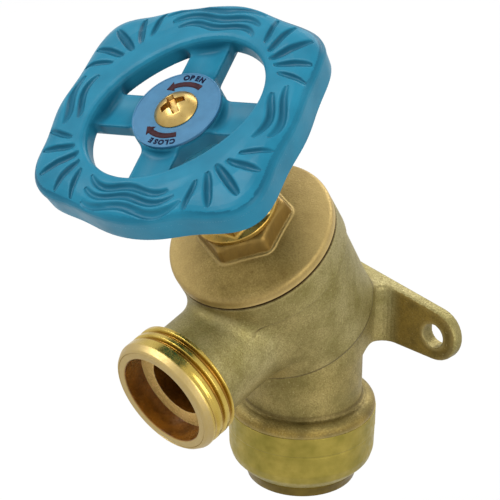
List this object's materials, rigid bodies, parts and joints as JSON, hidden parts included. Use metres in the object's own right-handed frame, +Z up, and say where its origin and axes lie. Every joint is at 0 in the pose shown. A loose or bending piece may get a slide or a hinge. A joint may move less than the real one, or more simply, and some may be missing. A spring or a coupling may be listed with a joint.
{
  "type": "garden valve",
  "caption": "Brass push-fit garden valve with tilted chamber, blue four-spoke handwheel, hose-thread outlet and two wall ears.",
  "frame": {"origin": "centre of the pipe socket's mouth, on the release collar's lower face", "axes": "+Z up the pipe, -Y to the hose side, +Y to the wall, X along the wall ears"},
  "size_m": [0.0636, 0.0794, 0.1152],
  "materials": {
    "cast_brass": "sand-cast, matte",
    "bonnet_brass": "sand-cast, matte, machined flats",
    "cap_brass": "turned, satin",
    "collar_brass": "turned, satin, darker",
    "turned_brass": "turned, polished",
    "screw_brass": "polished",
    "blue_enamel": "glossy blue paint",
    "label_print": "printed disc, satin",
    "rubber": "matte black",
    "graphite": "matte dark grey",
    "fibre": "dark fibre",
    "spring_steel": "bright",
    "grey_acetal": "matte grey"
  },
  "bodies": {
    "housing": {"valve_body": "cast_brass", "bonnet": "bonnet_brass", "bonnet_gasket": "fibre", "stem_packing": "graphite", "packing_washer": "turned_brass", "packing_nut": "turned_brass", "socket_cap": "cap_brass", "grab_ring": "spring_steel", "seal_spacer": "grey_acetal", "pipe_o_ring": "rubber", "pipe_liner": "grey_acetal"},
    "seat_disc": {"seat_washer": "rubber"},
    "turning": {"stem": "turned_brass", "washer_screw": "turned_brass", "handwheel": "blue_enamel", "label_plate": "label_print", "handle_screw": "screw_brass"},
    "collar": {"release_collar": "collar_brass"}
  },
  "joints": [
    {"name": "stem_lift", "type": "slide", "parent": "housing", "child": "seat_disc", "axis": [0, -0.5358, 0.8443], "range_m": [0, 0.005]},
    {"name": "handwheel_turn", "type": "hinge", "parent": "seat_disc", "child": "turning", "pos_m": [0, -0.0164, 0.06404], "axis": [0, -0.5358, 0.8443], "range_deg": [0, 900]},
    {"name": "collar_release", "type": "slide", "parent": "housing", "child": "collar", "axis": [0, 0, 1], "range_m": [0, 0.0015]}
  ],
  "couplings": [
    {"joint": "handwheel_turn", "follows": "stem_lift", "rad_per_m": 3141.6}
  ]
}
